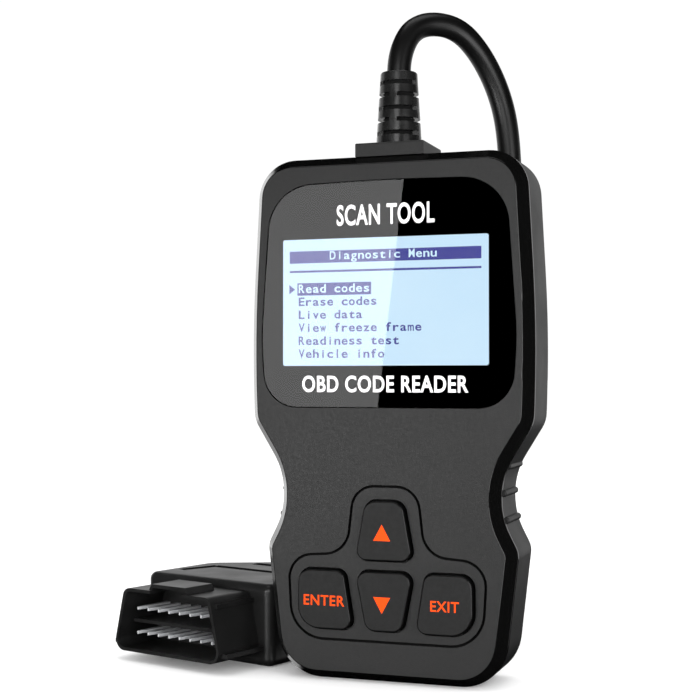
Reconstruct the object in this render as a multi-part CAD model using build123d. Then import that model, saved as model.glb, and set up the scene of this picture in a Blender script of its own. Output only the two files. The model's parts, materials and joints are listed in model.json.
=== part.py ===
from build123d import *
import math
import os

# A hand-held diagnostic code reader that stands upright on its bottom edge.
# Millimetres. +Z is up, the display and keys face -Y, and X = 0 is the plane of symmetry.
# "Depth" below is the distance behind the front face, measured along +Y.

# ---------------------------------------------------------------- driving dimensions
CASE_HEIGHT = 138.0
CASE_THICKNESS = 22.0
KEY_RAISE = 2.0                                   # keys stand this far out of the front face
FACE_Y = -(CASE_THICKNESS + KEY_RAISE) / 2 + KEY_RAISE

BEVEL_WIDTH = 2.5                                 # bevel round the front face, seen from the front
BEVEL_DEPTH = 4.0
EDGE_ROUND = 0.45                                 # soft edge on both sides of the bevel
PARTING_DEPTH = 4.8                               # where the front cover meets the rear cover
BACK_ROUND = 1.9
FRONT_WALL = 2.2
SIDE_WALL = 2.0
FRONT_SIDE_WALL = 2.8
REAR_WALL = 2.0
BACK_INSIDE = CASE_THICKNESS - REAR_WALL

# right half of the case outline, from the bottom corner up: (x, z, corner radius)
CASE_HALF = [
    (30.2, 0.0, 12.5),
    (34.3, 34.8, 5.0),
    (29.9, 43.5, 20.0),
    (29.9, 54.3, 20.0),
    (38.3, 68.0, 8.0),
    (39.15, 90.0, 380.0),
    (36.6, CASE_HEIGHT, 10.5),
]
RIB_HEIGHTS = [42.8, 49.7, 56.7]                  # finger ribs across the waist of the rear cover
RIB_RADIUS = 0.9
WAIST_HALF = 29.9                                 # the waist's edge, for the ribs: its narrowest place,
WAIST_Z = 49.2                                    # how high that is, how far it runs straight either way,
WAIST_FLAT = 4.6                                  # and how fast it widens beyond
WAIST_SLOPE = 0.42

# right half of the display panel outline
PANEL_HALF = [
    (33.5, 71.6, 9.5),
    (34.8, 90.0, 70.0),
    (32.1, 130.5, 12.5),
]
PANEL_TOP = 131.2
PANEL_TOP_ROUND = 400.0
LENS_SINK = 0.05
LENS_THICK = 1.1
MASK_THICK = 0.1
ADHESIVE_THICK = 0.15
POCKET_DEPTH = LENS_SINK + LENS_THICK + MASK_THICK + ADHESIVE_THICK
PANEL_GAP = 0.12

WINDOW_WIDTH = 56.3                               # clear window of the printed mask
WINDOW_HEIGHT = 33.6
WINDOW_X = -0.75
WINDOW_Z = 99.4
GLASS_WIDTH = 60.0
GLASS_HEIGHT = 37.4
GLASS_FRONT = 1.5
GLASS_THICK = 1.7

# key outlines as (x, z, corner radius), anticlockwise from the lower left
UP_KEY = [(-7.8, 32.1, 2.6), (7.8, 32.1, 2.6), (5.0, 47.5, 3.4), (-5.0, 47.5, 3.4)]
DOWN_KEY = [(-4.8, 13.9, 2.9), (4.8, 13.9, 2.9), (7.8, 29.2, 2.8), (-7.8, 29.2, 2.8)]
EXIT_KEY = [(8.5, 13.8, 2.6), (23.7, 13.8, 5.8), (23.5, 29.2, 3.4), (11.0, 29.2, 2.6)]
KEY_GAP = 0.45
KEY_TRAVEL = 1.0
KEY_FLANGE_GROW = 0.8
KEY_FLANGE_FRONT = 2.5
KEY_FLANGE_BACK = 3.3
KEY_FOOT_INSET = 1.6
KEY_FOOT_BACK = 4.4
PILL_THICK = 0.4
PILL_RADIUS = 2.1
KEY_EDGE_ROUND = 0.5

# thin groove round the keypad: right half, from the bottom up
GROOVE_HALF = [
    (25.8, 10.9, 9.0),
    (27.0, 32.4, 6.5),
    (10.6, 33.6, 7.0),
    (8.6, 51.2, 6.2),
]
GROOVE_WIDTH = 0.7
GROOVE_DEPTH = 1.3

MAT_FRONT = 4.8
BOARD_FRONT = 6.0
BOARD_THICK = 1.6
BOARD_BACK = BOARD_FRONT + BOARD_THICK
PAD_THICK = 0.1
HEADER_Z = 122.5
RIBBON_WIDTH = 22.0
RIBBON_THICK = 0.3
RIBBON_SLOT_Z = 75.0
RIBBON_BACK = BOARD_BACK + 1.05

BOSS_PLACES = [(-24.5, 8.6), (24.5, 8.6), (-30.0, 127.0), (30.0, 127.0)]
POST_PLACES = [(-13.0, 8.2), (13.0, 8.2), (-25.0, 65.5), (25.0, 65.5), (-16.0, 127.6), (16.0, 127.6)]
BOSS_JOIN = 12.0                                  # depth where front and rear bosses meet
SCREW_SEAT = 16.0

# cable entry on top of the case
CABLE_DIAMETER = 6.4
ENTRY_DEPTH = 12.4
ENTRY_Y = FACE_Y + ENTRY_DEPTH
BLOCK_WIDTH = 18.9
BLOCK_FRONT = 3.5
BLOCK_BACK = 21.8
BLOCK_TOP = 141.6
BOOT_TOP = 161.4
BOOT_LOW_RADIUS = 6.15
BOOT_HIGH_RADIUS = 4.95
BOOT_CORE_RADIUS = 3.9
BOOT_WEB = 2.1
BOOT_FRONT_SLOTS = [144.7, 151.4, 158.3]
BOOT_SIDE_SLOTS = [148.2, 155.0]
SLOT_HEIGHT = 1.15

# vehicle plug, lying on the surface that the case stands on; its own frame has the mouth at y = 0
PLUG_PLACE = Location((-63.4, -9.3, 0), (0, 0, -17.64))
SHROUD_LOW_HALF = 20.2
SHROUD_HIGH_HALF = 16.2
SHROUD_BOTTOM = 2.9
SHROUD_TOP = 20.5
SHROUD_WALL = 0.9
PIN_PITCH = 4.0
PIN_ROWS = [7.7, 14.5]
PIN_TIP = 3.3
PIN_ROOT = 20.4
PIN_WIDTH = 1.5
PIN_THICK = 0.8
PIN_TAPER = 3.4
SHROUD_FLOOR = 15.6
TONGUE_WIDTH = 31.0
TONGUE_THICK = 0.9
ROOF_TOP_HALF = 6.4                               # raised roof over the key notch in the shroud
ROOF_LOW_HALF = 7.6
ROOF_RISE = 1.7
ROOF_FRONT = 0.9
ROOF_BACK = 11.7
NOTCH_BACK = 7.5
RAIL_FRONT = 1.5                                  # guide rails along the shroud's sides
PLUG_BODY_FRONT = 16.5
PLUG_BODY_LENGTH = 40.0
PLUG_BODY_HALF = 23.6
PLUG_BODY_HEIGHT = 22.6
PLUG_CORNER = 2.4
PLUG_EDGE_ROUND = 2.1
PLUG_THROAT_WIDTH = 32.8
PLUG_THROAT_HEIGHT = 13.2
PLUG_SHOULDER = 27.0                              # straight part of the body's sides
PLUG_NECK_HALF = 8.0
PLUG_BOOT_LENGTH = 19.8
PLUG_AXIS_Z = PLUG_BODY_HEIGHT / 2
GRIP_BARS = [(15.6, 20.8), (9.4, 32.0)]            # recessed grip bars: (half width, distance back)
GRIP_WIDTH = 3.4
GRIP_DEPTH = 1.1
GRIP_LEG = (16.8, 15.2, 13.0, 14.0)                # its side bars: place across, place back, length, slant
PLUG_WALL = 1.8
PLUG_SCREW_X = 18.6
PLUG_SCREW_Y = PLUG_BODY_FRONT + 3.4

# cord: from the case's boot over its loop, down behind the case, round the coil, to the plug
COIL_CENTRE = (-40.9, 137.6)
COIL_RADIUS = 36.0
COIL_HEIGHT = 2 * CABLE_DIAMETER
STRAP_THICK = 0.5
STRAP_WIDTH = 9.0
CORD_UPPER = [
    (0.0, 2.4, 161.4),
    (0.0, 2.4, 167.0),
    (3.6, 6.5, 175.6),
    (12.6, 14.2, 176.2),
    (18.6, 20.8, 168.8),
    (23.4, 24.9, 156.5),
    (25.2, 25.9, 142.5),
    (25.0, 26.6, 124.5),
    (23.6, 27.4, 103.0),
    (21.6, 28.8, 80.0),
    (19.6, 31.0, 57.0),
    (18.0, 34.8, 34.5),
    (17.0, 43.0, 14.5),
    (15.8, 58.0, 3.3),
    (13.0, 76.0, 3.3),
    (8.8, 93.5, 3.3),
    (3.2, 109.5, 3.3),
    (-2.6, 123.5, 3.3),
]
CORD_PLUG = [
    (-58.9, 106.4, 10.1),
    (-44.6, 99.4, 10.4),
    (-35.3, 79.1, 11.3),
    (-40.3, 63.4, 11.3),
]

os.makedirs("parts", exist_ok=True)


# ---------------------------------------------------------------- helpers
def outline(corners):
    """A closed face from (x, z, corner radius) corners."""
    points = [(x, z) for x, z, _ in corners]
    radii = [r for _, _, r in corners]
    return make_face(FilletPolyline(*points, radius=radii, close=True).edges())


def symmetric(half, top=None):
    """A closed face from its right half; top is an optional (z, radius) corner at x = 0."""
    left = [(-x, z, r) for x, z, r in reversed(half)]
    crown = [(0.0, top[0], top[1])] if top else []
    return outline(half + crown + left)


def slab(shape, front, back):
    """The shape, drawn in x and z, as a plate between two depths."""
    plane = Plane(origin=(0, FACE_Y + back, 0), x_dir=(1, 0, 0), z_dir=(0, -1, 0))
    return extrude(plane * shape, amount=back - front)


def disc(x, z, radius):
    return Pos(x, z) * Circle(radius)


def panel(x, z, width, height, corner=0.0):
    shape = RectangleRounded(width, height, corner) if corner else Rectangle(width, height)
    return Pos(x, z) * shape


def grow(shape, amount):
    return offset(shape, amount=amount)


def edges_at(solid, depth):
    """All edges that lie in the plane at this depth."""
    y = FACE_Y + depth
    return solid.edges().filter_by_position(Axis.Y, y - 0.001, y + 0.001)


def save(name, *shapes):
    """One STEP for the node, holding its separate solids."""
    solids = [s for shape in shapes for s in shape.solids()]
    node = solids[0] if len(solids) == 1 else Compound(children=solids)
    export_step(node, f"parts/{name}.step")


case_face = symmetric(CASE_HALF)
panel_face = symmetric(PANEL_HALF, (PANEL_TOP, PANEL_TOP_ROUND))
EXIT = outline(EXIT_KEY)
KEYS = {
    "up": outline(UP_KEY),
    "down": outline(DOWN_KEY),
    "enter": outline([(-x, z, r) for x, z, r in reversed(EXIT_KEY)]),
    "exit": EXIT,
}
KEY_CENTRES = {"up": (0, 39.4), "down": (0, 21.6), "enter": (-16.6, 21.2), "exit": (16.6, 21.2)}


# ---------------------------------------------------------------- case
def bevelled_front():
    """Front cover blank: bevelled all round its face, with soft edges."""
    blank = slab(case_face, 0, PARTING_DEPTH)
    front = blank.faces().sort_by(Axis.Y)[0]
    blank = chamfer(front.edges(), length=BEVEL_WIDTH, length2=BEVEL_DEPTH, reference=front)
    blank = fillet(edges_at(blank, 0), EDGE_ROUND)
    return fillet(edges_at(blank, BEVEL_DEPTH), EDGE_ROUND)


def front_cover():
    cover = bevelled_front()
    cover -= slab(grow(case_face, -FRONT_SIDE_WALL), FRONT_WALL, PARTING_DEPTH)
    cover -= slab(grow(panel_face, PANEL_GAP), 0, POCKET_DEPTH)
    cover -= slab(panel(0, WINDOW_Z, GLASS_WIDTH + 0.6, GLASS_HEIGHT + 0.6, 0.8), 0, FRONT_WALL)
    for key in KEYS.values():
        cover -= slab(grow(key, KEY_GAP), 0, FRONT_WALL)
    line = symmetric(GROOVE_HALF)
    ring = grow(line, GROOVE_WIDTH / 2) - grow(line, -GROOVE_WIDTH / 2)
    cover -= slab(ring, 0, GROOVE_DEPTH)
    for x, z in BOSS_PLACES:
        cover += slab(disc(x, z, 2.9), FRONT_WALL - 0.2, BOSS_JOIN)
        cover -= slab(disc(x, z, 1.3), 3.0, BOSS_JOIN)
    for x, z in POST_PLACES:
        cover += slab(disc(x, z, 2.2), FRONT_WALL - 0.2, BOARD_FRONT)
        cover -= slab(disc(x, z, 0.8), 3.0, BOARD_FRONT)
    return cover


def rear_cover():
    cover = slab(case_face, PARTING_DEPTH, CASE_THICKNESS)
    cover = fillet(edges_at(cover, CASE_THICKNESS), BACK_ROUND)
    cover = chamfer(edges_at(cover, PARTING_DEPTH), 0.25)
    ribs = finger_ribs()
    cover += ribs
    cover -= slab(grow(case_face, -SIDE_WALL), PARTING_DEPTH, BACK_INSIDE)
    for x, z in BOSS_PLACES:
        cover += slab(disc(x, z, 3.5), BOSS_JOIN, BACK_INSIDE + 0.2)
        cover -= slab(disc(x, z, 1.5), BOSS_JOIN, SCREW_SEAT)
        cover -= slab(disc(x, z, 2.7), SCREW_SEAT, CASE_THICKNESS)
    cover -= slab(panel(0, 84, 48, 40, 2.5), CASE_THICKNESS - 0.4, CASE_THICKNESS)
    for i in range(5):
        cover -= slab(panel(0, 26 + 4.5 * i, 30 - 2 * i, 1.6, 0.79), CASE_THICKNESS - 0.7, CASE_THICKNESS)
    neck = Box(12.2, 8.2, 8)
    cover -= Pos(0, ENTRY_Y, CASE_HEIGHT - 1) * neck
    return cover


def finger_ribs():
    """Three soft-ended rods half sunk in each side of the waist."""
    front = PARTING_DEPTH + 0.6
    back = CASE_THICKNESS - BACK_ROUND
    rod = Rot(90, 0, 0) * Cylinder(RIB_RADIUS, back - front)
    rod = fillet(rod.edges().filter_by(GeomType.CIRCLE), 0.4)
    ribs = []
    for z in RIB_HEIGHTS:
        side = WAIST_HALF + WAIST_SLOPE * max(abs(z - WAIST_Z) - WAIST_FLAT, 0)
        ribs += [Pos(sign * side, FACE_Y + (front + back) / 2, z) * rod for sign in (-1, 1)]
    return ribs


def case_screws():
    screw = Cylinder(1.25, 10, align=(Align.CENTER, Align.CENTER, Align.MAX))
    screw += Cylinder(2.4, 1.9, align=(Align.CENTER, Align.CENTER, Align.MIN))
    screw -= Pos(0, 0, 1.0) * Box(2.6, 0.6, 2)
    screw -= Pos(0, 0, 1.0) * Box(0.6, 2.6, 2)
    return [Pos(x, FACE_Y + SCREW_SEAT, z) * Rot(-90, 0, 0) * screw for x, z in BOSS_PLACES]


def board_screws():
    screw = Cylinder(0.75, 2.6 + BOARD_THICK, align=(Align.CENTER, Align.CENTER, Align.MAX))
    screw += Cylinder(1.7, 1.2, align=(Align.CENTER, Align.CENTER, Align.MIN))
    screw -= Pos(0, 0, 0.9) * Box(2.0, 0.5, 1)
    screw -= Pos(0, 0, 0.9) * Box(0.5, 2.0, 1)
    return [Pos(x, FACE_Y + BOARD_BACK, z) * Rot(-90, 0, 0) * screw for x, z in POST_PLACES]


save("front_cover", front_cover())
save("rear_cover", rear_cover())
save("case_screws", *case_screws())
save("board_screws", *board_screws())
save("rating_label", slab(panel(0, 84, 47.4, 39.4, 2.2), CASE_THICKNESS - 0.4, CASE_THICKNESS - 0.2))

# ---------------------------------------------------------------- display
mask_front = LENS_SINK + LENS_THICK
window = panel(WINDOW_X, WINDOW_Z, WINDOW_WIDTH, WINDOW_HEIGHT, 0.6)
wide_window = panel(0, WINDOW_Z, GLASS_WIDTH + 0.6, GLASS_HEIGHT + 0.6, 0.8)
lens = slab(panel_face, LENS_SINK, mask_front)
lens = chamfer(edges_at(lens, LENS_SINK), 0.15)
save("display_lens", lens)
save("lens_mask", slab(panel_face - window, mask_front, mask_front + MASK_THICK))
save("lens_adhesive", slab(grow(panel_face, -0.6) - wide_window, mask_front + MASK_THICK, POCKET_DEPTH))

glass_back = GLASS_FRONT + GLASS_THICK
save("lcd_glass", slab(panel(0, WINDOW_Z, GLASS_WIDTH, GLASS_HEIGHT, 0.4), GLASS_FRONT, glass_back))
light_guide = panel(0, WINDOW_Z, GLASS_WIDTH - 1, GLASS_HEIGHT - 1, 0.4)
save("lcd_backlight", slab(light_guide, glass_back, BOARD_FRONT))
frame_shape = panel(0, WINDOW_Z, 65.0, 43.0, 1.0)
frame_shape -= panel(0, WINDOW_Z, GLASS_WIDTH + 0.2, GLASS_HEIGHT + 0.2, 0.5)
save("lcd_frame", slab(frame_shape, FRONT_WALL + 0.1, BOARD_FRONT))


def ribbon():
    """Flat ribbon from the display's lower edge through a slot in the board to its socket."""
    strip = slab(panel(0, 76.4, RIBBON_WIDTH, 2.8), 4.3, 4.3 + RIBBON_THICK)
    strip += slab(panel(0, RIBBON_SLOT_Z, RIBBON_WIDTH, RIBBON_THICK), 4.3, RIBBON_BACK)
    strip += slab(panel(0, 67.6, RIBBON_WIDTH, 15.1), RIBBON_BACK - RIBBON_THICK, RIBBON_BACK)
    return strip


save("lcd_ribbon", ribbon())


# ---------------------------------------------------------------- keypad
def key_cap(shape):
    cap = slab(shape, -KEY_RAISE, KEY_FLANGE_FRONT)
    cap = fillet(edges_at(cap, -KEY_RAISE), KEY_EDGE_ROUND)
    cap += slab(grow(shape, KEY_FLANGE_GROW), KEY_FLANGE_FRONT, KEY_FLANGE_BACK)
    cap += slab(grow(shape, -KEY_FOOT_INSET), KEY_FLANGE_BACK, KEY_FOOT_BACK)
    return cap


mat_half = [(26.4, 11.7, 7.5), (26.8, 31.6, 5.0), (11.5, 31.6, 3.0), (10.5, 51.0, 4.0)]
mat = slab(symmetric(mat_half), MAT_FRONT, BOARD_FRONT)
contacts = []
for name, shape in KEYS.items():
    x, z = KEY_CENTRES[name]
    mat -= slab(grow(shape, -KEY_FOOT_INSET + 0.5), MAT_FRONT, BOARD_FRONT)
    save(f"{name}_key", key_cap(shape))
    save(f"{name}_key_pill", slab(disc(x, z, PILL_RADIUS), KEY_FOOT_BACK, KEY_FOOT_BACK + PILL_THICK))
    for side in (-1, 1):
        pad = disc(x, z, 2.6) & panel(x + side * 1.5, z, 2.4, 6)
        contacts.append(slab(pad, BOARD_FRONT - PAD_THICK, BOARD_FRONT))
save("keypad_mat", mat)
save("key_contacts", *contacts)


# ---------------------------------------------------------------- electronics
def main_board():
    shape = grow(case_face, -4.0) - panel(0, CASE_HEIGHT - 2, 24, 12)
    shape -= panel(0, RIBBON_SLOT_Z, RIBBON_WIDTH + 1.5, 1.8)
    for x, z in BOSS_PLACES:
        shape -= disc(x, z, 3.9)
    for x, z in POST_PLACES:
        shape -= disc(x, z, 0.9)
    return slab(shape, BOARD_FRONT, BOARD_BACK)


def flat_chip(x, z, size, height, leads):
    """Square chip with leads on all four sides."""
    body = slab(panel(x, z, size, size, 0.3), BOARD_BACK + 0.15, BOARD_BACK + height)
    legs = []
    step = (size - 1.6) / (leads - 1)
    for i in range(leads):
        along = -size / 2 + 0.8 + i * step
        for dx, dz, w, h in [(along, 0, 0.3, size + 1.6), (0, along, size + 1.6, 0.3)]:
            legs.append(slab(panel(x + dx, z + dz, w, h), BOARD_BACK, BOARD_BACK + 0.15))
    return body, legs


def drum(x, z, radius, height):
    can = slab(disc(x, z, radius), BOARD_BACK + 0.6, BOARD_BACK + height)
    can = fillet(edges_at(can, BOARD_BACK + height), 0.5)
    return can + slab(panel(x, z, 2 * radius + 0.3, 2 * radius + 0.3, 0.6), BOARD_BACK, BOARD_BACK + 0.6)


def small_parts(places, width, height, thick):
    return [slab(panel(x, z, width, height, 0.1), BOARD_BACK, BOARD_BACK + thick) for x, z in places]


processor, processor_leads = flat_chip(-6, 96, 12, 1.7, 16)
transceiver, transceiver_leads = flat_chip(16, 106, 7, 1.5, 8)
save("main_board", main_board())
save("processor_chip", processor)
save("transceiver_chip", transceiver)
save("chip_leads", Compound(children=processor_leads + transceiver_leads))
save("crystal", slab(panel(8, 88, 11.0, 4.4, 2.1), BOARD_BACK, BOARD_BACK + 3.4))
save("board_capacitors", drum(-24, 112, 3.15, 7.5), drum(-16, 112, 3.15, 7.5), drum(24, 92, 2.5, 5.6))
save("voltage_regulator", slab(panel(-22, 98, 6.5, 6.1, 0.2), BOARD_BACK, BOARD_BACK + 2.3)
     + slab(panel(-22, 94, 5.4, 3.0), BOARD_BACK, BOARD_BACK + 0.5))
save("board_resistors", *small_parts([(x, z) for x in range(-20, 24, 4) for z in (36, 44)], 1.6, 0.8, 0.5))
save("ribbon_socket", slab(panel(0, 58.5, 26, 4.6, 0.3), BOARD_BACK, BOARD_BACK + 2.2)
     - slab(panel(0, 60.2, 22.4, 1.4), BOARD_BACK + 0.7, BOARD_BACK + 1.1))


def cable_header():
    shell = slab(panel(0, HEADER_Z, 17, 6.0, 0.3), BOARD_BACK, BOARD_BACK + 4.6)
    return shell - slab(panel(0, HEADER_Z, 15.6, 4.6), BOARD_BACK + 1.0, BOARD_BACK + 4.6)


def inner_wires():
    """Wires from the cable's end, fanning out to the connector on the board."""
    wires = []
    for i in range(-2, 3):
        route = FilletPolyline(
            (i * 1.15, ENTRY_Y, 131.0),
            (i * 1.15, ENTRY_Y, 128.0),
            (i * 2.6, FACE_Y + BOARD_BACK + 7.4, HEADER_Z),
            (i * 2.6, FACE_Y + BOARD_BACK + 5.0, HEADER_Z),
            radius=0.9)
        section = Plane(origin=route @ 0, z_dir=route % 0) * Circle(0.5)
        wires.append(sweep(section, path=route))
    return wires


save("cable_header", cable_header())
save("cable_connector", slab(panel(0, HEADER_Z, 15.4, 4.4, 0.2), BOARD_BACK + 1.0, BOARD_BACK + 5.0))
save("inner_wires", *inner_wires())


# ---------------------------------------------------------------- cable entry
def cable_block():
    """Block on top of the case, with a neck through the wall and a flange inside."""
    depth = BLOCK_BACK - BLOCK_FRONT
    middle = FACE_Y + (BLOCK_BACK + BLOCK_FRONT) / 2
    low = (Align.CENTER, Align.CENTER, Align.MIN)
    block = Pos(0, middle, CASE_HEIGHT) * Box(BLOCK_WIDTH, depth, BLOCK_TOP - CASE_HEIGHT, align=low)
    rear = block.edges().filter_by(Axis.Z).group_by(Axis.Y)[-1]
    block = fillet(rear, 1.5)
    block = fillet(block.faces().sort_by(Axis.Z)[-1].edges(), 0.4)
    block += Pos(0, ENTRY_Y, CASE_HEIGHT - 2.1) * Box(12, 8, 2.2, align=low)
    block += Pos(0, ENTRY_Y, CASE_HEIGHT - 5.0) * Box(16, 10, 2.9, align=low)
    return block - Pos(0, ENTRY_Y, CASE_HEIGHT) * Cylinder(CABLE_DIAMETER / 2, 20)


def slotted_boot(height, low_radius, high_radius, core, front_slots, side_slots):
    """Tapered sleeve with staggered slots cut down to its core, standing on z = 0."""
    low = (Align.CENTER, Align.CENTER, Align.MIN)
    boot = Cone(low_radius, high_radius, height, align=low)
    boot = fillet(boot.edges().sort_by(Axis.Z)[-1], 0.5)
    for z, turned in [(z, False) for z in front_slots] + [(z, True) for z in side_slots]:
        ring = Cylinder(low_radius + 1, SLOT_HEIGHT) - Cylinder(core, SLOT_HEIGHT)
        web = Box(BOOT_WEB, 30, 2) if turned else Box(30, BOOT_WEB, 2)
        boot -= Pos(0, 0, z) * (ring - web)
    return boot


boot_height = BOOT_TOP - BLOCK_TOP
boot = slotted_boot(
    boot_height, BOOT_LOW_RADIUS, BOOT_HIGH_RADIUS, BOOT_CORE_RADIUS,
    [z - BLOCK_TOP for z in BOOT_FRONT_SLOTS], [z - BLOCK_TOP for z in BOOT_SIDE_SLOTS])
boot -= Cylinder(CABLE_DIAMETER / 2, 60)
save("cable_block", cable_block())
save("strain_relief", Pos(0, ENTRY_Y, BLOCK_TOP) * boot)
sheath_end = Cylinder(CABLE_DIAMETER / 2, BOOT_TOP - 131, align=(Align.CENTER, Align.CENTER, Align.MIN))
save("cable_end", Pos(0, ENTRY_Y, 131) * sheath_end)


# ---------------------------------------------------------------- cord
def cord_tube(name, points):
    """Straight runs joined by the largest tangent arcs that the runs allow."""
    vectors = [Vector(*p) for p in points]
    runs = [b - a for a, b in zip(vectors, vectors[1:])]
    radii = []
    for before, after in zip(runs, runs[1:]):
        half_turn = math.radians(before.get_angle(after)) / 2
        radii.append(0.45 * min(before.length, after.length) / math.tan(half_turn))
    path = FilletPolyline(*vectors, radius=radii)
    tube = sweep(Plane(origin=path @ 0, z_dir=path % 0) * Circle(CABLE_DIAMETER / 2), path=path)
    area = math.pi * CABLE_DIAMETER ** 2 / 4
    print(name, "radii", [round(r, 1) for r in radii])
    print(name, "length", round(path.length, 1), "volume ratio", round(tube.volume / (area * path.length), 4))
    save(name, tube)


def cord_coil():
    """Outer shape of the round coil of cord."""
    section = RectangleRounded(CABLE_DIAMETER, COIL_HEIGHT, CABLE_DIAMETER / 2 - 0.2)
    ring = revolve(Plane.XZ * Pos(COIL_RADIUS, COIL_HEIGHT / 2) * section, Axis.Z)
    return Pos(*COIL_CENTRE, STRAP_THICK) * ring


def cord_tie():
    """Strap round both turns, on the left of the coil."""
    outer_width = CABLE_DIAMETER + 2 * STRAP_THICK
    outer = RectangleRounded(outer_width, COIL_HEIGHT + 2 * STRAP_THICK, CABLE_DIAMETER / 2 + 0.2)
    block = Plane.XZ.offset(-STRAP_WIDTH / 2) * Pos(-COIL_RADIUS, COIL_HEIGHT / 2 + STRAP_THICK) * outer
    band = extrude(block, amount=STRAP_WIDTH)
    return Pos(*COIL_CENTRE, 0) * band - cord_coil()


cord_tube("cord_upper", CORD_UPPER)
cord_tube("cord_to_plug", CORD_PLUG)
save("cord_coil", cord_coil())
save("cord_tie", cord_tie())


# ---------------------------------------------------------------- vehicle plug
def save_on_plug(name, *shapes):
    save(name, *[PLUG_PLACE * shape for shape in shapes])


def upright(shape, front, back):
    """A shape drawn across the plug, as a solid between two distances behind the mouth."""
    plane = Plane(origin=(0, back, 0), x_dir=(1, 0, 0), z_dir=(0, -1, 0))
    return extrude(plane * shape, amount=back - front)


def shroud_outline(inset):
    low = SHROUD_LOW_HALF - inset * 1.05
    high = SHROUD_HIGH_HALF - inset * 1.05
    bottom = SHROUD_BOTTOM + inset
    top = SHROUD_TOP - inset
    round_low = 3.2 - inset
    round_high = 2.6 - inset
    return outline([(-low, bottom, round_low), (low, bottom, round_low),
                    (high, top, round_high), (-high, top, round_high)])


def roof_outline():
    low = SHROUD_TOP - 0.5
    top = SHROUD_TOP + ROOF_RISE
    return outline([(-ROOF_LOW_HALF, low, 0.1), (ROOF_LOW_HALF, low, 0.1),
                    (ROOF_TOP_HALF, top, 0.4), (-ROOF_TOP_HALF, top, 0.4)])


def plug_shroud():
    shroud = upright(shroud_outline(0), 0, PLUG_BODY_FRONT)
    shroud -= upright(shroud_outline(SHROUD_WALL), 0, SHROUD_FLOOR)
    shroud += upright(roof_outline(), ROOF_FRONT, ROOF_BACK) - upright(shroud_outline(0.3), 0, PLUG_BODY_FRONT)
    shroud -= upright(panel(0, SHROUD_TOP - 0.3, 2 * ROOF_TOP_HALF - 0.6, 2.0), 0, NOTCH_BACK)
    for side in (-1, 1):
        low_rail = panel(side * (SHROUD_LOW_HALF - 0.3), SHROUD_BOTTOM + 2.2, 2.4, 1.2)
        high_rail = panel(side * (SHROUD_HIGH_HALF - 0.2), SHROUD_TOP - 2.4, 3.0, 1.2)
        for rail in (low_rail, high_rail):
            rail = upright(rail, RAIL_FRONT, PLUG_BODY_FRONT)
            shroud += rail - upright(shroud_outline(0.4), 0, PLUG_BODY_FRONT)
    tongue = panel(0, (PIN_ROWS[0] + PIN_ROWS[1]) / 2, TONGUE_WIDTH, TONGUE_THICK, 0.3)
    shroud += upright(tongue, PIN_TIP, SHROUD_FLOOR)
    for pin in plug_pins():
        shroud -= pin
    return shroud


def plug_pins():
    """Two rows of eight flat pins with pointed tips."""
    half = PIN_WIDTH / 2
    pins = []
    for z in PIN_ROWS:
        for i in range(8):
            x = (i - 3.5) * PIN_PITCH
            edge = Polyline(
                (x - half, PIN_ROOT), (x - half, PIN_TIP + PIN_TAPER), (x - 0.2, PIN_TIP),
                (x + 0.2, PIN_TIP), (x + half, PIN_TIP + PIN_TAPER), (x + half, PIN_ROOT), close=True)
            pins.append(extrude(Plane.XY.offset(z - PIN_THICK / 2) * make_face(edge), amount=PIN_THICK))
    return pins


def plug_half(lower):
    """One of the two halves of the plug's body: a tapered shell open at the middle."""
    rear = PLUG_BODY_FRONT + PLUG_BODY_LENGTH
    shoulder = PLUG_BODY_FRONT + PLUG_SHOULDER
    plan = symmetric([
        (PLUG_BODY_HALF, PLUG_BODY_FRONT, PLUG_CORNER),
        (PLUG_BODY_HALF, shoulder, 8.0),
        (PLUG_NECK_HALF, rear, 2.0)])
    height = PLUG_BODY_HEIGHT / 2
    solid = extrude(plan, amount=height)
    inside = extrude(grow(plan, -PLUG_WALL), amount=height - PLUG_WALL)
    top = solid.faces().sort_by(Axis.Z)[-1]
    solid = fillet(top.edges(), PLUG_EDGE_ROUND)
    solid -= inside
    solid -= Pos(0, PLUG_BODY_FRONT, 0) * Box(PLUG_THROAT_WIDTH, 10, PLUG_THROAT_HEIGHT)
    solid -= Pos(0, rear, 0) * Rot(90, 0, 0) * Cylinder(CABLE_DIAMETER / 2 + 0.6, 10)
    for half, y in GRIP_BARS:
        solid -= Pos(0, PLUG_BODY_FRONT + y, height) * Box(2 * half, GRIP_WIDTH, 2 * GRIP_DEPTH)
    across, back, length, slant = GRIP_LEG
    for side in (-1, 1):
        leg = Pos(side * across, PLUG_BODY_FRONT + back, height) * Rot(0, 0, side * slant)
        solid -= leg * Box(GRIP_WIDTH, length, 2 * GRIP_DEPTH)
        column = Cylinder(2.1, height - 0.5, align=(Align.CENTER, Align.CENTER, Align.MIN))
        solid += Pos(side * PLUG_SCREW_X, PLUG_SCREW_Y, 0) * column
        solid -= Pos(side * PLUG_SCREW_X, PLUG_SCREW_Y, 0) * Cylinder(0.95, 2 * height - 4.4)
        if lower:
            solid -= Pos(side * PLUG_SCREW_X, PLUG_SCREW_Y, height) * Cylinder(1.7, 4.4)
    if lower:
        solid = Rot(180, 0, 0) * solid
        solid = mirror(solid, Plane.XZ)
    return Pos(0, 0, PLUG_AXIS_Z) * solid


def plug_board():
    board = Box(31, 14, 1.6)
    return Pos(0, PIN_ROOT + 7.5, PLUG_AXIS_Z) * board


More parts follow.
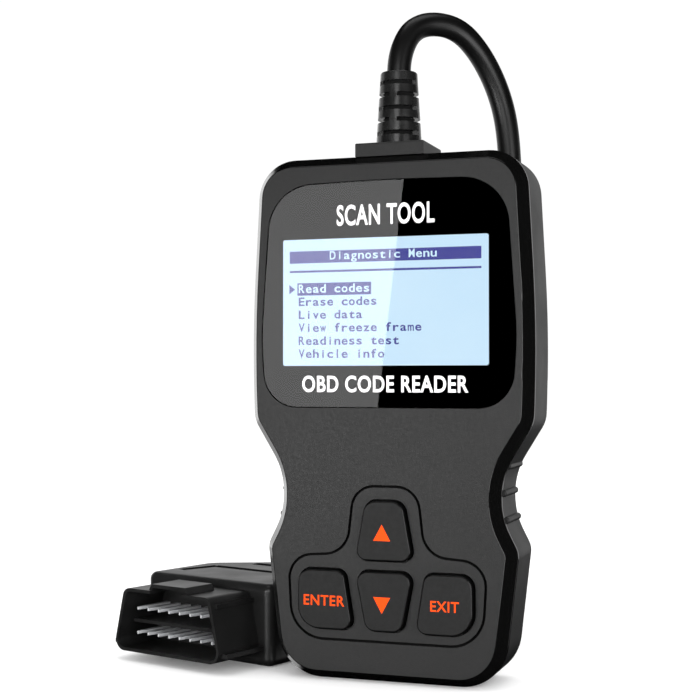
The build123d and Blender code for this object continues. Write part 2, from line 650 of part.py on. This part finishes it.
def plug_screws():
    """Two screws from below through both halves of the plug's body."""
    screw = Cylinder(0.95, 13, align=(Align.CENTER, Align.CENTER, Align.MIN))
    screw += Cylinder(1.6, 1.2, align=(Align.CENTER, Align.CENTER, Align.MAX))
    screw -= Pos(0, 0, -1.2) * Box(2.0, 0.5, 1)
    screw -= Pos(0, 0, -1.2) * Box(0.5, 2.0, 1)
    return [Pos(side * PLUG_SCREW_X, PLUG_SCREW_Y, 2.2) * screw for side in (-1, 1)]


plug_boot = slotted_boot(PLUG_BOOT_LENGTH, 6.0, 4.8, 3.9, [6.8, 12.8], [9.8, 15.8])
plug_boot += Cylinder(CABLE_DIAMETER / 2 + 0.5, 2.0, align=(Align.CENTER, Align.CENTER, Align.MAX))
plug_rear = PLUG_BODY_FRONT + PLUG_BODY_LENGTH
save_on_plug("plug_shroud", plug_shroud())
save_on_plug("plug_pins", *plug_pins())
save_on_plug("plug_upper_half", plug_half(False))
save_on_plug("plug_lower_half", plug_half(True))
save_on_plug("plug_board", plug_board())
save_on_plug("plug_screws", *plug_screws())
save_on_plug("plug_boot", Pos(0, plug_rear, PLUG_AXIS_Z) * Rot(-90, 0, 0) * plug_boot)
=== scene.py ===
import json
import math

import bmesh
import bpy
from mathutils import Matrix, Vector


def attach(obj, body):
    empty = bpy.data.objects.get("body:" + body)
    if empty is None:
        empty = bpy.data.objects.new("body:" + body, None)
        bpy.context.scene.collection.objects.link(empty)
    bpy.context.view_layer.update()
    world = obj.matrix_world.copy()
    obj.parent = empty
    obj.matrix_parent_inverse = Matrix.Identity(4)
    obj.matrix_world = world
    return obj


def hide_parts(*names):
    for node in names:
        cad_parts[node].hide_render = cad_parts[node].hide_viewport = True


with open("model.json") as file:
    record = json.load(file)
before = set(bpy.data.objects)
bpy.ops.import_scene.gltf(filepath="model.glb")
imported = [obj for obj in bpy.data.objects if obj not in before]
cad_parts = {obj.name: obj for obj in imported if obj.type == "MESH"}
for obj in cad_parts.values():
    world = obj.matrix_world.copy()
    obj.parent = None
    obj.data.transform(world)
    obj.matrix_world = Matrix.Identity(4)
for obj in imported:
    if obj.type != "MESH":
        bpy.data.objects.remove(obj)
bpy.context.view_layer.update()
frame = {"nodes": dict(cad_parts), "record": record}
MM = 0.001
FACE_Y = -10.0                                    # the flat of the front cover

# ---------------------------------------------------------------- camera and colour
scene = bpy.context.scene
scene.view_settings.view_transform = "Standard"

camera = bpy.data.objects.new("camera", bpy.data.cameras.new("camera"))
scene.collection.objects.link(camera)
scene.camera = camera
camera.data.lens = 72.0
camera.data.sensor_width = 36.0
camera.data.clip_start = 0.01
camera.data.clip_end = 30.0
CAMERA_PLACE = (110.35, -356.88, 79.1)
CAMERA_HEADING = (-0.327, 0.945, 0.0)
CAMERA_PITCH = math.radians(1.187)                # looks up by this much
camera.location = Vector(CAMERA_PLACE) * MM
heading = Vector(CAMERA_HEADING).normalized()
gaze = heading * math.cos(CAMERA_PITCH) + Vector((0, 0, math.sin(CAMERA_PITCH)))
camera.rotation_euler = gaze.to_track_quat("-Z", "Y").to_euler()

# ---------------------------------------------------------------- shader helpers
NOISE_LOW = 0.3                                   # a noise mostly stays between these two
NOISE_HIGH = 0.7


def srgb(r, g=None, b=None):
    """A linear colour from 0-255 display values."""
    values = (r, r if g is None else g, r if b is None else b)
    linear = [((v / 255 + 0.055) / 1.055) ** 2.4 if v > 10 else v / 255 / 12.92 for v in values]
    return (*linear, 1.0)


class Shader:
    """A new material around one Principled BSDF, with short names for the nodes that it needs."""

    def __init__(self, name, colour, roughness, **sockets):
        self.material = bpy.data.materials.new(name)
        self.material.use_nodes = True
        self.tree = self.material.node_tree
        self.base = self.tree.nodes["Principled BSDF"]
        self.place = self.node("ShaderNodeTexCoord").outputs["Object"]
        self.colour = colour
        self.roughness = roughness
        self.base.inputs["Base Color"].default_value = colour
        self.base.inputs["Roughness"].default_value = roughness
        for socket, value in sockets.items():
            self.base.inputs[socket.replace("_", " ")].default_value = value

    def node(self, kind, **settings):
        made = self.tree.nodes.new(kind)
        for key, value in settings.items():
            setattr(made, key, value)
        return made

    def link(self, source, target):
        self.tree.links.new(source, target)

    def noise(self, size, detail=2.0):
        """Noise with features about this many millimetres across."""
        texture = self.node("ShaderNodeTexNoise")
        texture.inputs["Scale"].default_value = 1 / (size * MM)
        texture.inputs["Detail"].default_value = detail
        self.link(self.place, texture.inputs["Vector"])
        return texture.outputs["Fac"]

    def ramp(self, factor, low, high):
        """A colour ramp between two colours, over the range that a noise mostly has."""
        ramp = self.node("ShaderNodeValToRGB")
        ramp.color_ramp.elements[0].position = NOISE_LOW
        ramp.color_ramp.elements[1].position = NOISE_HIGH
        ramp.color_ramp.elements[0].color = low
        ramp.color_ramp.elements[1].color = high
        self.link(factor, ramp.inputs["Fac"])
        return ramp.outputs["Color"]

    def spread(self, factor, low, high, start=NOISE_LOW, end=NOISE_HIGH):
        """The factor, mapped from one range to another."""
        node = self.node("ShaderNodeMapRange")
        for socket, value in (("From Min", start), ("From Max", end), ("To Min", low), ("To Max", high)):
            node.inputs[socket].default_value = value
        self.link(factor, node.inputs["Value"])
        return node.outputs["Result"]

    def feed(self, value, socket):
        """A socket's link, or a constant, into another socket."""
        if isinstance(value, bpy.types.NodeSocket):
            self.link(value, socket)
        else:
            socket.default_value = value

    def maths(self, operation, *values):
        """The result of a math node. Each value is a constant or another node's output."""
        node = self.node("ShaderNodeMath", operation=operation)
        for value, socket in zip(values, node.inputs):
            self.feed(value, socket)
        return node.outputs["Value"]

    def repeats(self, along, pitch):
        """Runs from 0 to 1 over each stretch of this many millimetres."""
        return self.maths("FRACT", self.maths("MULTIPLY", along, 1 / (pitch * MM)))

    def every(self, *masks):
        """1 where every mask is 1."""
        whole = masks[0]
        for mask in masks[1:]:
            whole = self.maths("MULTIPLY", whole, mask)
        return whole

    def mix(self, mask, clear, masked, kind="FLOAT"):
        """The first value or colour where the mask is 0, the second where it is 1."""
        node = self.node("ShaderNodeMix", data_type=kind)
        self.link(mask, node.inputs["Factor"])
        self.feed(clear, node.inputs["A"])
        self.feed(masked, node.inputs["B"])
        return node.outputs["Result"]

    def bump(self, height, depth):
        """Bump of this many millimetres from a height, on top of any bump already there."""
        node = self.node("ShaderNodeBump")
        node.inputs["Distance"].default_value = depth * MM
        node.inputs["Strength"].default_value = 1.0
        self.link(height, node.inputs["Height"])
        normal = self.base.inputs["Normal"]
        if normal.is_linked:
            self.link(normal.links[0].from_socket, node.inputs["Normal"])
        self.link(node.outputs["Normal"], normal)

    def mottled(self, size, amount):
        """The base colour with a slow drift over the surface."""
        low = tuple(c * (1 - amount) for c in self.colour[:3]) + (1,)
        high = tuple(min(c * (1 + amount), 1) for c in self.colour[:3]) + (1,)
        return self.ramp(self.noise(size, 3.0), low, high)

    def mottle(self, size, amount, rough=0.05):
        """Slow drift of colour and roughness over the surface."""
        self.link(self.mottled(size, amount), self.base.inputs["Base Color"])
        level = self.spread(self.noise(size, 3.0), self.roughness - rough, self.roughness + rough)
        self.link(level, self.base.inputs["Roughness"])
        return self

    def grain(self, size, depth):
        """Fine moulded or cast texture."""
        self.bump(self.noise(size), depth)
        return self

    def facing_front(self):
        """1 where the surface looks along -Y, 0 where it is turned well away."""
        split = self.node("ShaderNodeSeparateXYZ")
        self.link(self.node("ShaderNodeNewGeometry").outputs["Normal"], split.inputs["Vector"])
        return self.spread(split.outputs["Y"], 1.0, 0.0, -0.97, -0.9)

    def position(self):
        """The X, Y and Z of the surface in the object's own frame."""
        split = self.node("ShaderNodeSeparateXYZ")
        self.link(self.place, split.inputs["Vector"])
        return [split.outputs[axis] for axis in "XYZ"]

    def painted_shade(self, mask):
        """Painted shade: flat black and fully rough where the mask is 1, at the bottom of a slot or a gap.
        """
        colour = self.base.inputs["Base Color"]
        self.link(self.mix(mask, colour.links[0].from_socket, srgb(1), "RGBA"), colour)
        roughness = self.base.inputs["Roughness"]
        self.link(self.mix(mask, roughness.links[0].from_socket, 1.0), roughness)
        return self

    def two_finishes_painted_light_and_shade(self, mask, painted_turned_colour, edge_roughness, size, amount, depth):
        """Textured matt where the mask is 1, plain gloss where it is 0. The colour for where it is 0 is
        painted light and shade on the faces turned from the front: darker than the base where it stands in
        for shade, paler where it stands in for light.
        """
        colour = self.mix(mask, painted_turned_colour, self.mottled(size, amount), "RGBA")
        self.link(colour, self.base.inputs["Base Color"])
        level = self.spread(self.noise(0.9), self.roughness - 0.05, self.roughness + 0.05)
        self.link(self.mix(mask, edge_roughness, level), self.base.inputs["Roughness"])
        self.bump(self.maths("MULTIPLY", self.noise(0.26), mask), depth)
        return self


def paint(material, node):
    mesh = frame["nodes"][node].data
    mesh.materials.clear()
    mesh.materials.append(material)


# ---------------------------------------------------------------- cord
CORD_DIAMETER = 6.4
CORD_EXIT = (0.0, 2.4, 161.4)
CORD_UPPER = [
    CORD_EXIT,
    (0.0, 2.4, 167.0),
    (3.6, 6.5, 175.6),
    (12.6, 14.2, 176.2),
    (18.6, 20.8, 168.8),
    (23.4, 24.9, 156.5),
    (25.2, 25.9, 142.5),
    (25.0, 26.6, 124.5),
    (23.6, 27.4, 103.0),
    (21.6, 28.8, 80.0),
    (19.6, 31.0, 57.0),
    (18.0, 34.8, 34.5),
    (17.0, 43.0, 14.5),
    (15.8, 58.0, 3.3),
    (13.0, 76.0, 3.3),
    (8.8, 93.5, 3.3),
    (3.2, 109.5, 3.3),
    (-2.6, 123.5, 3.3),
]
CORD_PLUG = [
    (-58.9, 106.4, 10.1),
    (-44.6, 99.4, 10.4),
    (-35.3, 79.1, 11.3),
    (-40.3, 63.4, 11.3),
]
COIL_CENTRE = (-40.9, 137.6)
COIL_RADIUS = 36.0
COIL_START = 12.0
COIL_TURN = 588.0                                 # degrees wound between the run in and the run out
COIL_STEPS = 24
LAP_FROM = 300.0                                  # the second turn climbs on to the first here
LAP_TO = 350.0
FIRST_TURN_Z = 3.7
SECOND_TURN_Z = 10.1


def coil_points():
    """The wound turns. The corners stand a little outside the coil, so that the curve runs at its radius."""
    step = COIL_TURN / COIL_STEPS
    reach = COIL_RADIUS / math.cos(math.radians(step / 2))
    points = []
    for i in range(COIL_STEPS + 1):
        angle = COIL_START + step * i
        climb = min(max((angle - LAP_FROM) / (LAP_TO - LAP_FROM), 0), 1)
        x = COIL_CENTRE[0] + reach * math.cos(math.radians(angle))
        y = COIL_CENTRE[1] + reach * math.sin(math.radians(angle))
        points.append((x, y, FIRST_TURN_Z + (SECOND_TURN_Z - FIRST_TURN_Z) * climb))
    return points


def cord_piece():
    """The whole cord as one round curve."""
    route = CORD_UPPER + coil_points() + CORD_PLUG
    curve = bpy.data.curves.new("cord", "CURVE")
    curve.dimensions = "3D"
    spline = curve.splines.new("NURBS")
    spline.points.add(len(route) - 1)
    for point, place in zip(spline.points, route):
        point.co = (*[c * MM for c in place], 1.0)
    spline.order_u = 3
    spline.use_endpoint_u = True
    spline.resolution_u = 10
    curve.bevel_depth = CORD_DIAMETER / 2 * MM
    curve.bevel_resolution = 8
    curve.use_fill_caps = True
    cord = bpy.data.objects.new("cord", curve)
    scene.collection.objects.link(cord)
    return cord


cord = cord_piece()
cord_jacket = Shader("cord_jacket", srgb(8), 0.36, Specular_IOR_Level=0.36)
cord_jacket.mottle(14, 0.12, 0.04).grain(0.35, 0.006)
cord.data.materials.append(cord_jacket.material)
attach(cord, "root")
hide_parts("cord_upper", "cord_coil", "cord_to_plug")

# ---------------------------------------------------------------- floor and light
world = bpy.data.worlds.new("world")
scene.world = world
world.use_nodes = True
background = world.node_tree.nodes["Background"].inputs
background["Color"].default_value = (1, 1, 1, 1)
background["Strength"].default_value = 1.03
world.cycles_visibility.glossy = False            # reflections come from the light boxes alone


def floor_piece():
    """White studio paper. It gives the object no reflections."""
    mesh = bpy.data.meshes.new("floor")
    shape = bmesh.new()
    bmesh.ops.create_grid(shape, x_segments=8, y_segments=8, size=3.0)
    shape.to_mesh(mesh)
    shape.free()
    floor = bpy.data.objects.new("floor", mesh)
    scene.collection.objects.link(floor)
    paper = Shader("floor_paper", srgb(253), 0.9, Specular_IOR_Level=0.1, Emission_Strength=0.08)
    paper.mottle(60, 0.01).grain(0.6, 0.01)
    mesh.materials.append(paper.material)
    floor.visible_glossy = False


floor_piece()


def softbox(name, place, aim, width, height, radiance, roll=0.0):
    """A rectangular area light of this radiance. Places and sizes are in millimetres."""
    data = bpy.data.lights.new(name, "AREA")
    data.shape = "RECTANGLE"
    data.size = width * MM
    data.size_y = height * MM
    data.energy = radiance * math.pi * data.size * data.size_y
    lamp = bpy.data.objects.new(name, data)
    scene.collection.objects.link(lamp)
    start = Vector(place) * MM
    turn = (Vector(aim) * MM - start).to_track_quat("-Z", "Y")
    lamp.location = start
    lamp.rotation_euler = (turn.to_matrix() @ Matrix.Rotation(math.radians(roll), 3, "Z")).to_euler()
    return lamp


# the edge of this box is the line that crosses the display panel
softbox("front_left_box", (-239.1, -600, 139), (-239.1, 0, 139), 110, 300, 2.8, -6.9)
softbox("front_box", (50, -620, 180), (0, 0, 80), 240, 340, 4.2)
softbox("right_box", (200, -150, 70), (10, 0, 65), 120, 240, 5.0)
softbox("right_rim_box", (480, 520, 40), (0, 0, 60), 300, 500, 1.0).visible_camera = False
softbox("back_box", (-350, 900, 250), (-350, 0, 250), 1900, 700, 0.8).visible_camera = False
softbox("left_box", (-1000, 500, 0), (0, 0, 0), 1300, 1400, 0.8).visible_camera = False
softbox("low_box", (-230, -430, 32), (-60, 0, 12), 260, 50, 16.0)
softbox("top_box", (0, 0, 900), (0, 0, 80), 700, 360, 1.8)

# ---------------------------------------------------------------- finishes of the CAD nodes
KEYPAD_HALF = 27.5                                # the keypad's part of the front cover
KEYPAD_LOW = 10.0
KEYPAD_HIGH = 52.5
# below this depth the keypad's groove and the gaps round the keys are painted in shade
KEYPAD_SUNK = 0.06                                # deeper than this below the face is a groove or a gap
# inside this radius the boot's slots are painted in shade
BOOT_SLOT_RADIUS = 4.25                           # inside the boot's slots
DOT_PITCH = 0.42                                  # of the display's dots
DOT_GAP = 0.14                                    # between the dots, as a part of the pitch
LABEL_MIDDLE_Z = 84.0
LABEL_HALF_WIDTH = 22.1                           # to the outside of the printed border
LABEL_HALF_HEIGHT = 18.1
LABEL_BORDER = 0.4
LABEL_RULE_PITCH = 6.0


def front_finish():
    """Textured face, glossy bevels darkened with painted shade, and painted shade in the keypad's groove and
    round the keys.
    """
    shader = Shader("case_front", srgb(25), 0.5, Specular_IOR_Level=0.38)
    # The bevels are really glossy, but their darker colour, srgb(7) against the face's srgb(25), is painted
    # shade.
    shader.two_finishes_painted_light_and_shade(shader.facing_front(), srgb(7), 0.16, 16, 0.08, 0.03)
    x, y, z = shader.position()
    # Painted shade: the keypad's groove and the gaps round the keys are painted flat black.
    shader.painted_shade(shader.every(
        shader.maths("LESS_THAN", shader.maths("ABSOLUTE", x), KEYPAD_HALF * MM),
        shader.maths("GREATER_THAN", z, KEYPAD_LOW * MM),
        shader.maths("LESS_THAN", z, KEYPAD_HIGH * MM),
        shader.maths("GREATER_THAN", y, (FACE_Y + KEYPAD_SUNK) * MM),
    ))
    return shader.material


def key_finish():
    """Matt rubber tops, and smooth sides darkened with painted shade."""
    shader = Shader("key_rubber", srgb(20), 0.6, Specular_IOR_Level=0.35)
    # Painted shade: the key sides are coloured darker, srgb(6) against the tops' srgb(20).
    shader.two_finishes_painted_light_and_shade(shader.facing_front(), srgb(6), 0.3, 6, 0.06, 0.012)
    return shader.material


def boot_finish():
    """Satin rubber, with painted shade: flat black down in the slots of the boot on the case."""
    shader = Shader("boot_rubber", srgb(22), 0.26, Specular_IOR_Level=0.6)
    shader.mottle(5, 0.25, 0.04).grain(0.4, 0.01)
    x, y, _ = shader.position()
    along = shader.maths("SUBTRACT", y, CORD_EXIT[1] * MM)
    square = shader.maths("ADD", shader.maths("POWER", x, 2.0), shader.maths("POWER", along, 2.0))
    # Painted shade: flat black inside the slots.
    shader.painted_shade(shader.maths("LESS_THAN", square, (BOOT_SLOT_RADIUS * MM) ** 2))
    return shader.material


def display_finish():
    """Lit liquid crystal with a faint lattice of dots and a slightly uneven light behind."""
    shader = Shader("lcd", srgb(24), 0.35, Specular_IOR_Level=0.2, Emission_Strength=1.0)
    x, _, z = shader.position()
    gaps = [
        shader.maths("LESS_THAN", shader.repeats(along, DOT_PITCH), DOT_GAP)
        for along in (x, z)
    ]
    lattice = shader.maths("MULTIPLY", shader.maths("MAXIMUM", *gaps), 0.3)
    glow = shader.ramp(shader.noise(30, 1.0), srgb(193, 227, 251), srgb(200, 232, 253))
    shader.link(shader.mix(lattice, glow, srgb(208, 236, 253), "RGBA"), shader.base.inputs["Emission Color"])
    return shader.material


def board_finish():
    """Green solder mask with paler copper tracks under it."""
    shader = Shader("circuit_board", srgb(20, 70, 38), 0.35)
    tracks = shader.node("ShaderNodeTexBrick")
    tracks.inputs["Scale"].default_value = 1 / (9 * MM)
    tracks.inputs["Mortar Size"].default_value = 0.03
    tracks.inputs["Color1"].default_value = srgb(16, 62, 34)
    tracks.inputs["Color2"].default_value = srgb(20, 74, 40)
    tracks.inputs["Mortar"].default_value = srgb(48, 120, 66)
    turn = shader.node("ShaderNodeMapping")
    turn.inputs["Rotation"].default_value = (math.pi / 2, 0, 0)
    shader.link(shader.place, turn.inputs["Vector"])
    shader.link(turn.outputs["Vector"], tracks.inputs["Vector"])
    shader.link(tracks.outputs["Color"], shader.base.inputs["Base Color"])
    shader.bump(tracks.outputs["Fac"], 0.03)
    return shader.material


def label_finish():
    """Silver polyester label with a printed border and rules, and no words."""
    shader = Shader("label", srgb(172), 0.34, Metallic=0.35)
    x, _, z = shader.position()
    across = shader.maths("ABSOLUTE", x)
    up = shader.maths("ABSOLUTE", shader.maths("SUBTRACT", z, LABEL_MIDDLE_Z * MM))
    sides = ((across, LABEL_HALF_WIDTH), (up, LABEL_HALF_HEIGHT))
    middle = LABEL_BORDER / 2
    borders = [shader.maths("COMPARE", far, (half - middle) * MM, middle * MM) for far, half in sides]
    rules = shader.maths("COMPARE", shader.repeats(up, LABEL_RULE_PITCH), 0.5, 0.02)
    drawn = shader.maths("MAXIMUM", shader.maths("MAXIMUM", *borders), rules)
    inside = shader.every(*[shader.maths("LESS_THAN", far, half * MM) for far, half in sides])
    colour = shader.mix(shader.every(drawn, inside), shader.mottled(1.2, 0.05), srgb(40), "RGBA")
    shader.link(colour, shader.base.inputs["Base Color"])
    shader.grain(0.4, 0.004)
    return shader.material


def lens_finish():
    """Clear acrylic with the slight unevenness of a moulded sheet."""
    shader = Shader("clear_lens", (1, 1, 1, 1), 0.0, Transmission_Weight=1.0, IOR=1.49)
    level = shader.spread(shader.noise(12), 0.0, 0.02)
    shader.link(level, shader.base.inputs["Roughness"])
    return shader.material


# slot: (colour, roughness, drift size, drift amount, grain size, grain depth, other sockets); sizes in mm
PLAIN_FINISHES = {
    "black_screw": (srgb(26), 0.35, 1.5, 0.3, 0.3, 0.01, {"Metallic": 0.9}),
    "steel_screw": (srgb(150), 0.3, 1.5, 0.15, 0.3, 0.008, {"Metallic": 1.0}),
    "black_print": (srgb(3), 0.45, 4, 0.3, 0.5, 0.002, {}),
    "adhesive": (srgb(196, 192, 180), 0.7, 3, 0.1, 0.6, 0.01, {}),
    "backlight": (srgb(226, 230, 232), 0.5, 8, 0.04, 0.8, 0.01, {}),
    "lcd_holder": (srgb(34), 0.5, 8, 0.1, 0.4, 0.01, {}),
    "ribbon": (srgb(176, 112, 44), 0.4, 3, 0.15, 0.5, 0.01, {}),
    "mat_rubber": (srgb(150, 152, 150), 0.65, 6, 0.08, 0.5, 0.01, {}),
    "carbon": (srgb(24), 0.7, 0.8, 0.3, 0.2, 0.02, {}),
    "gold_contact": (srgb(214, 170, 84), 0.3, 1, 0.1, 0.3, 0.004, {"Metallic": 1.0}),
    "chip": (srgb(28), 0.5, 2, 0.2, 0.2, 0.01, {}),
    "tin": (srgb(190), 0.3, 0.8, 0.12, 0.2, 0.004, {"Metallic": 1.0}),
    "can_metal": (srgb(170), 0.28, 2, 0.1, 0.3, 0.004, {"Metallic": 1.0}),
    "white_socket": (srgb(222, 218, 206), 0.5, 4, 0.05, 0.4, 0.008, {}),
    "wire_jacket": (srgb(120, 34, 30), 0.45, 3, 0.2, 0.4, 0.006, {}),
    "strap": (srgb(18), 0.7, 2, 0.3, 0.5, 0.08, {}),
    "plug_plastic": (srgb(20), 0.38, 9, 0.15, 0.3, 0.01, {"Specular_IOR_Level": 0.5}),
    "pin_metal": (srgb(242, 244, 247), 0.2, 1.5, 0.08, 0.3, 0.003, {"Metallic": 0.5}),
}


def plain_finish(name):
    colour, rough, size, amount, grain, depth, sockets = PLAIN_FINISHES[name]
    shader = Shader(name, colour, rough, **sockets)
    return shader.mottle(size, amount, rough * 0.12).grain(grain, depth).material


def side_finish():
    """Fine moulded texture of the case's sides, back and small mouldings."""
    shader = Shader("case_side", srgb(22), 0.5, Specular_IOR_Level=0.35)
    return shader.mottle(18, 0.08, 0.05).grain(0.28, 0.025).material


def block_finish():
    """Matt front, and satin sides made paler with painted light."""
    shader = Shader("block", srgb(14), 0.5)
    # Painted light: the sides are coloured paler, srgb(28) against the front's srgb(14).
    return shader.two_finishes_painted_light_and_shade(shader.facing_front(), srgb(28), 0.45, 8, 0.1, 0.02).material


finishes = {name: plain_finish(name) for name in PLAIN_FINISHES}
finishes["case"] = side_finish()
finishes["key_rubber"] = key_finish()
finishes["lcd"] = display_finish()
finishes["boot_rubber"] = boot_finish()
finishes["circuit_board"] = board_finish()
finishes["label"] = label_finish()
finishes["clear_lens"] = lens_finish()
finishes["cord_jacket"] = cord_jacket.material
for part in frame["record"]["subparts"]:
    paint(finishes[part["material_slot"]], part["node"])
paint(front_finish(), "front_cover")
paint(block_finish(), "cable_block")


# ---------------------------------------------------------------- printing
def letter_mesh(words, bold):
    """The words as a flat mesh with thickness, at the font's own size."""
    curve = bpy.data.curves.new("words", "FONT")
    curve.body = words
    curve.size = 1.0
    curve.offset = bold
    curve.space_character = 1.08
    curve.extrude = 0.5
    curve.resolution_u = 6
    carrier = bpy.data.objects.new("words", curve)
    scene.collection.objects.link(carrier)
    bpy.context.view_layer.update()
    mesh = bpy.data.meshes.new_from_object(carrier)
    bpy.data.objects.remove(carrier)
    return mesh


def standing(mesh, name, low, high, layer, material, body):
    """The mesh, drawn in its own XY, stood up facing -Y. low and high are the corners (x, z) of the box that
    it fills, and layer is the Y of its front and of its back, in millimetres."""
    front, back = layer
    xs = [v.co.x for v in mesh.vertices]
    ys = [v.co.y for v in mesh.vertices]
    wide = (high[0] - low[0]) / (max(xs) - min(xs))
    tall = (high[1] - low[1]) / (max(ys) - min(ys))
    left, foot = min(xs), min(ys)
    for v in mesh.vertices:
        x = low[0] + (v.co.x - left) * wide
        z = low[1] + (v.co.y - foot) * tall
        y = front if v.co.z > 0 else back
        v.co = Vector((x, y, z)) * MM
    mesh.materials.clear()
    mesh.materials.append(material)
    mesh.name = name
    piece = bpy.data.objects.new(name, mesh)
    scene.collection.objects.link(piece)
    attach(piece, body)


def flat_shape(corners):
    """A closed plate from corners (x, z), counted anticlockwise, with its front at +z of its own frame."""
    shape = bmesh.new()
    back = [shape.verts.new((x, z, -0.5)) for x, z in corners]
    front = [shape.verts.new((x, z, 0.5)) for x, z in corners]
    shape.faces.new(front)
    shape.faces.new(back[::-1])
    for i in range(len(corners)):
        j = (i + 1) % len(corners)
        shape.faces.new([back[i], back[j], front[j], front[i]])
    mesh = bpy.data.meshes.new("plate")
    shape.to_mesh(mesh)
    shape.free()
    return mesh


def plate(name, corners, layer, material, body):
    """A flat printed shape with these corners (x, z) in millimetres."""
    xs = [x for x, _ in corners]
    zs = [z for _, z in corners]
    standing(flat_shape(corners), name, (min(xs), min(zs)), (max(xs), max(zs)), layer, material, body)


def display_bar(name, left, right, low, high):
    plate(name, [(left, low), (right, low), (right, high), (left, high)], DARK_LAYER, segment, "root")


def typed(name, words, left, foot, pitch, layer, material, bold):
    """A line of evenly pitched characters on the display, as one mesh."""
    front, back = layer
    shape = bmesh.new()
    scale = TEXT_HEIGHT / CAP_HEIGHT
    for i, letter in enumerate(words):
        if letter == " ":
            continue
        mesh = letter_mesh(letter, bold)
        xs = [v.co.x for v in mesh.vertices]
        fill = CELL_FILL * pitch / (scale * (max(xs) - min(xs)))
        stretch = min(fill, 1.0 if letter in "il" else WIDEST_STRETCH)
        middle = (max(xs) + min(xs)) / 2
        for v in mesh.vertices:
            x = left + (i + 0.5) * pitch + (v.co.x - middle) * scale * stretch
            z = foot + v.co.y * scale
            v.co = Vector((x, front if v.co.z > 0 else back, z)) * MM
        shape.from_mesh(mesh)
        bpy.data.meshes.remove(mesh)
    mesh = bpy.data.meshes.new(name)
    shape.to_mesh(mesh)
    shape.free()
    mesh.materials.append(material)
    piece = bpy.data.objects.new(name, mesh)
    scene.collection.objects.link(piece)
    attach(piece, "root")


def ink(name, colour, roughness=0.45, glow=None, specular=0.3):
    """A printed ink, or with a glow a part of the lit display."""
    shader = Shader(name, colour, roughness, Specular_IOR_Level=specular)
    if glow:
        shader.base.inputs["Emission Color"].default_value = glow
        shader.base.inputs["Emission Strength"].default_value = 1.0
    return shader.mottle(1.5, 0.06, 0.04).grain(0.3, 0.002).material


white_ink = ink("white_ink", srgb(236))
orange_ink = ink("orange_ink", srgb(232, 68, 2), 0.6, specular=0.12)
segment = ink("display_dots", srgb(6, 6, 24), 0.5, srgb(20, 26, 140))
blank = ink("display_clear", srgb(20), 0.5, srgb(208, 238, 255))

CAP_HEIGHT = max(v.co.y for v in letter_mesh("E", 0.0).vertices)
LENS_Y = -9.95                                    # front of the display window
KEY_Y = -12.0                                     # fronts of the keys
LENS_LAYER = (LENS_Y - 0.03, LENS_Y + 0.01)
KEY_LAYER = (KEY_Y - 0.03, KEY_Y + 0.02)
standing(letter_mesh("SCAN TOOL", 0.02), "upper_print", (-13.4, 119.4), (13.3, 124.9), LENS_LAYER,
         white_ink, "root")
standing(letter_mesh("OBD CODE READER", 0.022), "lower_print", (-23.1, 75.6), (22.2, 80.0), LENS_LAYER,
         white_ink, "root")

LEGEND_LOW = 19.9
LEGEND_HIGH = 22.6
for key, middle, width in (("enter", -16.2, 11.3), ("exit", 16.4, 7.5)):
    low = (middle - width / 2, LEGEND_LOW)
    high = (middle + width / 2, LEGEND_HIGH)
    standing(letter_mesh(key.upper(), 0.014), f"{key}_legend", low, high, KEY_LAYER,
             orange_ink, f"{key}_key_body")
ARROW_LEFT = -2.65
ARROW_TIP = -0.35
ARROW_RIGHT = 1.95
plate("up_legend", [(ARROW_LEFT, 37.3), (ARROW_RIGHT, 37.3), (ARROW_TIP, 41.5)], KEY_LAYER,
      orange_ink, "up_key_body")
plate("down_legend", [(ARROW_TIP, 18.6), (ARROW_RIGHT, 22.8), (ARROW_LEFT, 22.8)], KEY_LAYER,
      orange_ink, "down_key_body")

GLASS_Y = -8.5                                    # front of the display
DARK_LAYER = (GLASS_Y - 0.03, GLASS_Y - 0.01)
CLEAR_LAYER = (GLASS_Y - 0.05, GLASS_Y - 0.03)    # clear characters stand on a dark bar
DISPLAY_LEFT = -27.1
DISPLAY_RIGHT = 25.4
TEXT_LEFT = -24.7
TITLE_LEFT = -15.9
TITLE_CELL = 1.98                                 # pitch of the characters
CELL = 2.02
CELL_FILL = 0.82                                  # how much of its cell a wide character fills
WIDEST_STRETCH = 1.35
TITLE_FOOT = 110.75
FIRST_LINE = 102.05
LINE_PITCH = 3.46
TEXT_HEIGHT = 2.15
LINES = ["Read codes", "Erase codes", "Live data", "View freeze frame", "Readiness test", "Vehicle info"]
display_bar("title_bar", DISPLAY_LEFT, DISPLAY_RIGHT, 109.9, 113.1)
display_bar("title_rule", DISPLAY_LEFT, DISPLAY_RIGHT, 107.4, 107.95)
display_bar("choice_bar", TEXT_LEFT - 0.2, TEXT_LEFT + len(LINES[0]) * CELL + 0.3, 101.3, 104.6)
plate("choice_arrow", [(-27.2, 101.7), (-25.6, 102.95), (-27.2, 104.2)], DARK_LAYER, segment, "root")
typed("title_line", "Diagnostic Menu", TITLE_LEFT, TITLE_FOOT, TITLE_CELL, CLEAR_LAYER, blank, 0.015)
for i, words in enumerate(LINES):
    layer, material = (CLEAR_LAYER, blank) if i == 0 else (DARK_LAYER, segment)
    typed(f"menu_line_{i + 1}", words, TEXT_LEFT, FIRST_LINE - LINE_PITCH * i, CELL, layer, material, 0.02)
